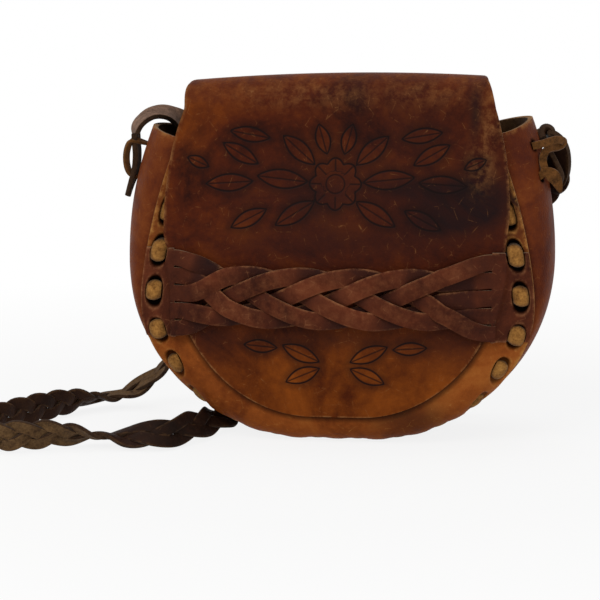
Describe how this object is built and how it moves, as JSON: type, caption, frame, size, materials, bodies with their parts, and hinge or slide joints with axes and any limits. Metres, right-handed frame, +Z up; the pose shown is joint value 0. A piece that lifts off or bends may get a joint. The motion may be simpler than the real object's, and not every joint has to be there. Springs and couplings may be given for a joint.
{
  "type": "saddle handbag",
  "caption": "Saddle handbag of laced hide: domed front, tongue flap held by a braided band, swelling open-eared gusset and a braided shoulder strap lying beside it.",
  "frame": {"origin": "middle of the level base that the bag stands on, half way through its depth", "axes": "+Z up, the front with the flap's tongue and the band faces -Y, +X to the right seen from the front"},
  "size_m": [0.3666, 0.1407, 0.216],
  "materials": {
    "flap_hide": "satin",
    "panel_hide": "satin",
    "gusset_hide": "satin",
    "band_hide": "satin",
    "lace_suede": "matte",
    "strap_leather": "satin",
    "thong_suede": "matte"
  },
  "bodies": {
    "bag": {"front_panel": "panel_hide", "back_panel": "panel_hide", "gusset": "gusset_hide", "front_lace": "lace_suede", "back_lace": "lace_suede", "band_end_left": "band_hide", "band_end_right": "band_hide", "band_strand_1": "band_hide", "band_strand_2": "band_hide", "band_strand_3": "band_hide", "band_strand_4": "band_hide", "band_strand_5": "band_hide", "shoulder_strap": "strap_leather", "strap_tab_left": "strap_leather", "strap_tab_right": "strap_leather", "tie_left": "thong_suede", "tie_right": "thong_suede"},
    "lid": {"flap_top": "flap_hide"},
    "tongue": {"flap_front": "flap_hide"}
  },
  "joints": [
    {"name": "flap_hinge", "type": "hinge", "parent": "bag", "child": "lid", "pos_m": [0, 0.03141, 0.21131], "axis": [-1, 0, 0], "range_deg": [0, 110], "deforming": ["band_end_left", "band_end_right", "band_strand_1", "band_strand_2", "band_strand_3", "band_strand_4", "band_strand_5"]},
    {"name": "flap_bend", "type": "hinge", "parent": "lid", "child": "tongue", "pos_m": [0, -0.03491, 0.21131], "axis": [-1, 0, 0], "range_deg": [0, 110]}
  ],
  "couplings": [
    {"joint": "flap_bend", "follows": "flap_hinge", "ratio": 1}
  ]
}
